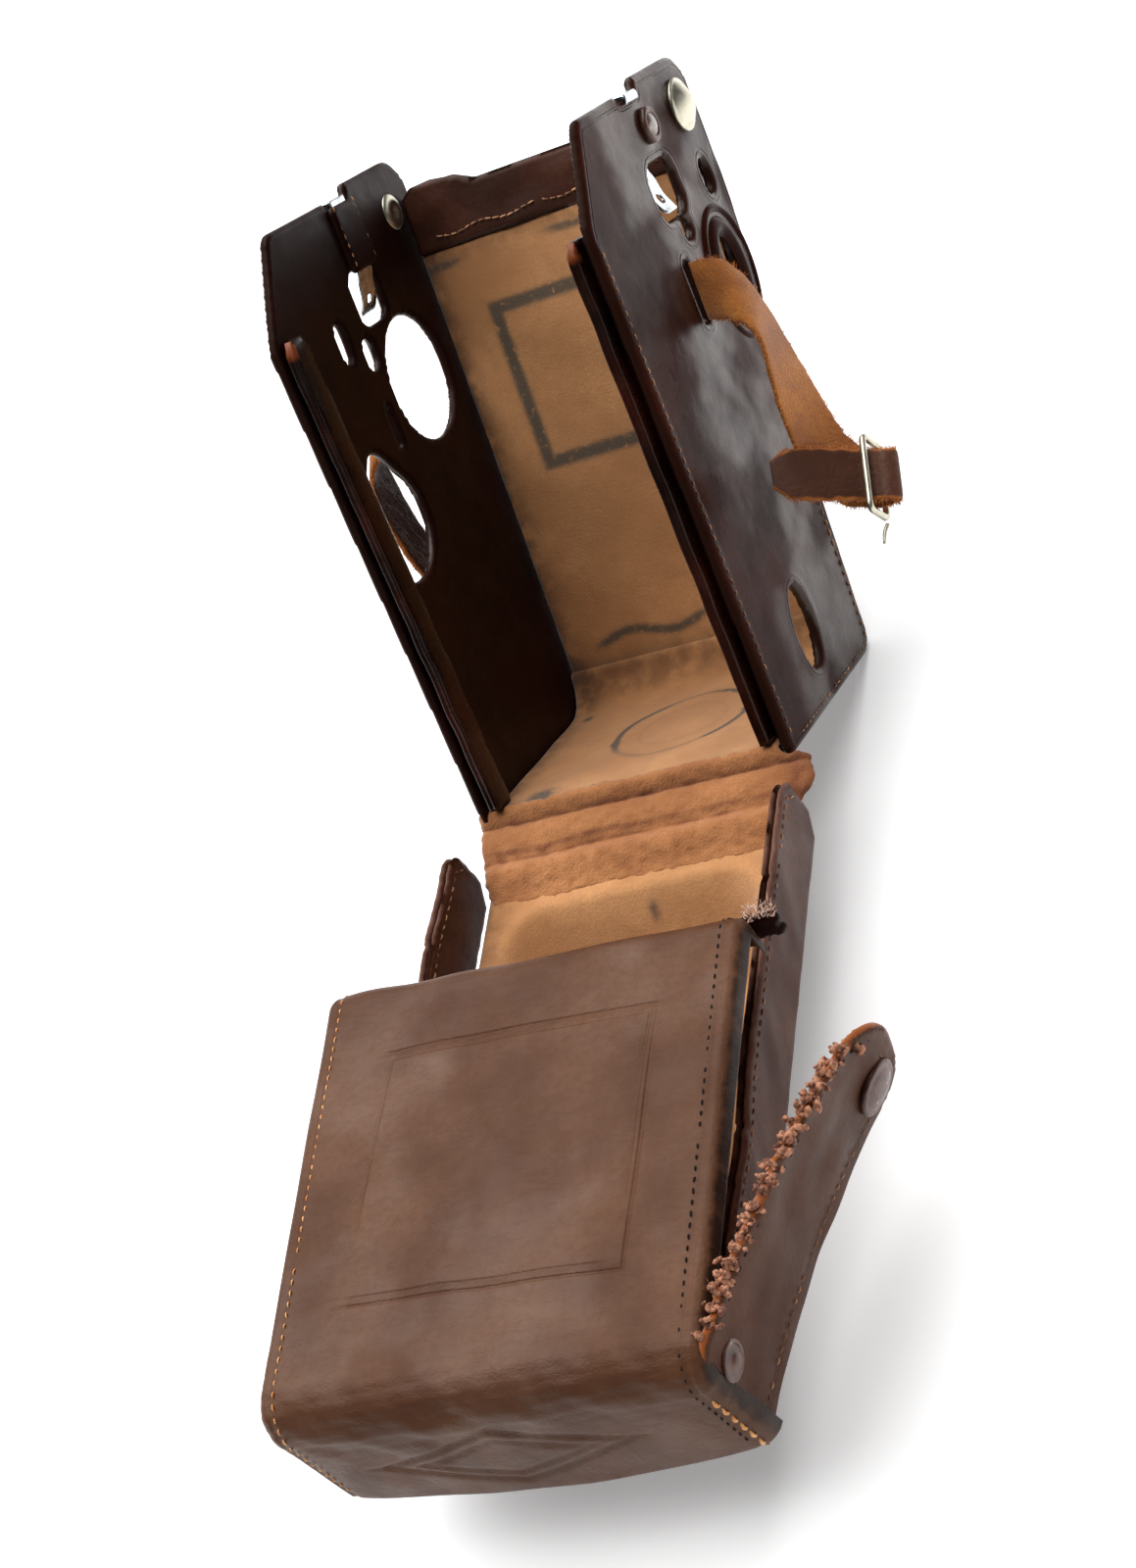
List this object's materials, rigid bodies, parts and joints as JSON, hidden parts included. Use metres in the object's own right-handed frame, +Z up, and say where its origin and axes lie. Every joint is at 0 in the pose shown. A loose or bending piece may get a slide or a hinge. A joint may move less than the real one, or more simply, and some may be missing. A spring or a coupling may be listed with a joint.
{
  "type": "camera case",
  "caption": "Hard leather ever-ready case for an upright box camera: open-fronted cradle, bulged front cover on a leather hinge, and a folding hood with side bands, straps and a buckle.",
  "frame": {"origin": "centre of the flat outer face of the cover's lens bulge, which rests on the table", "axes": "+X to the case's right, +Y from the cover towards the tilted cradle, +Z up"},
  "size_m": [0.1253, 0.2994, 0.1532],
  "materials": {
    "outer_leather": "semi-gloss grained hide, waxed brown",
    "lining_suede": "matte split hide, tan",
    "strap_suede": "napped split hide, orange-brown",
    "spring_steel": "rolled strip, slightly dull",
    "nickel": "nickel plate, aged",
    "lacquered_metal": "brown lacquer on brass, chipped"
  },
  "bodies": {
    "cradle": {"back_and_bottom": "outer_leather", "back_lining": "lining_suede", "floor_lining": "lining_suede", "back_top_facing": "outer_leather", "left_wall": "outer_leather", "right_wall": "outer_leather", "left_guide_rail": "outer_leather", "right_guide_rail": "outer_leather", "knob_ring_outer": "outer_leather", "knob_ring_inner": "outer_leather", "left_lug_spring": "spring_steel", "right_lug_spring": "spring_steel", "left_lug_rivet": "lacquered_metal", "right_lug_rivet": "lacquered_metal", "left_snap_stud": "nickel", "right_snap_stud": "nickel", "hinge_leather_rear": "outer_leather"},
    "cover": {"cover_panel": "outer_leather", "cover_lining": "lining_suede", "left_flange": "outer_leather", "left_flange_facing": "outer_leather", "right_flange": "outer_leather", "right_flange_facing": "outer_leather", "hinge_leather_front": "outer_leather"},
    "hood": {"hood_shell": "outer_leather", "hood_lining": "lining_suede", "hood_left_band": "outer_leather", "left_snap_cap": "lacquered_metal", "torn_seam_stub": "outer_leather"},
    "right_band": {"hood_right_band": "outer_leather", "right_snap_cap": "lacquered_metal", "right_snap_socket": "nickel", "right_band_rivet": "lacquered_metal"},
    "right_strap": {"right_strap": "strap_suede"},
    "left_strap": {"left_strap_end": "strap_suede"},
    "buckle": {"buckle_frame": "nickel"},
    "prong": {"buckle_prong": "nickel"}
  },
  "joints": [
    {"name": "cover_hinge", "type": "hinge", "parent": "cradle", "child": "cover", "pos_m": [0, 0.0671, 0.03196], "axis": [-1, 0, 0], "range_deg": [0, 119]},
    {"name": "hood_fold", "type": "hinge", "parent": "cover", "child": "hood", "pos_m": [0, -0.0822, 0.0243], "axis": [1, 0, 0], "range_deg": [0, 90]},
    {"name": "band_swing", "type": "hinge", "parent": "hood", "child": "right_band", "pos_m": [0.0457, -0.0832, 0.0246], "axis": [0, 0, 1], "range_deg": [-8, 4]},
    {"name": "right_strap_swing", "type": "hinge", "parent": "cradle", "child": "right_strap", "pos_m": [0.04015, 0.15965, 0.09551], "axis": [0, 0.4909, 0.8712], "range_deg": [-15, 25]},
    {"name": "left_strap_swing", "type": "hinge", "parent": "cradle", "child": "left_strap", "pos_m": [-0.04015, 0.14644, 0.09549], "axis": [0, 0.4909, 0.8712], "range_deg": [-20, 0]},
    {"name": "buckle_swing", "type": "hinge", "parent": "right_strap", "child": "buckle", "pos_m": [0.06535, 0.13295, 0.05179], "axis": [0, 0.9064, 0.4225], "range_deg": [-4, 4]},
    {"name": "prong_swing", "type": "hinge", "parent": "buckle", "child": "prong", "pos_m": [0.06535, 0.12809, 0.04445], "axis": [0, 0.4225, -0.9064], "range_deg": [-20, 10]}
  ],
  "couplings": [
    {"joint": "hood_fold", "follows": "cover_hinge", "ratio": 0.756}
  ]
}
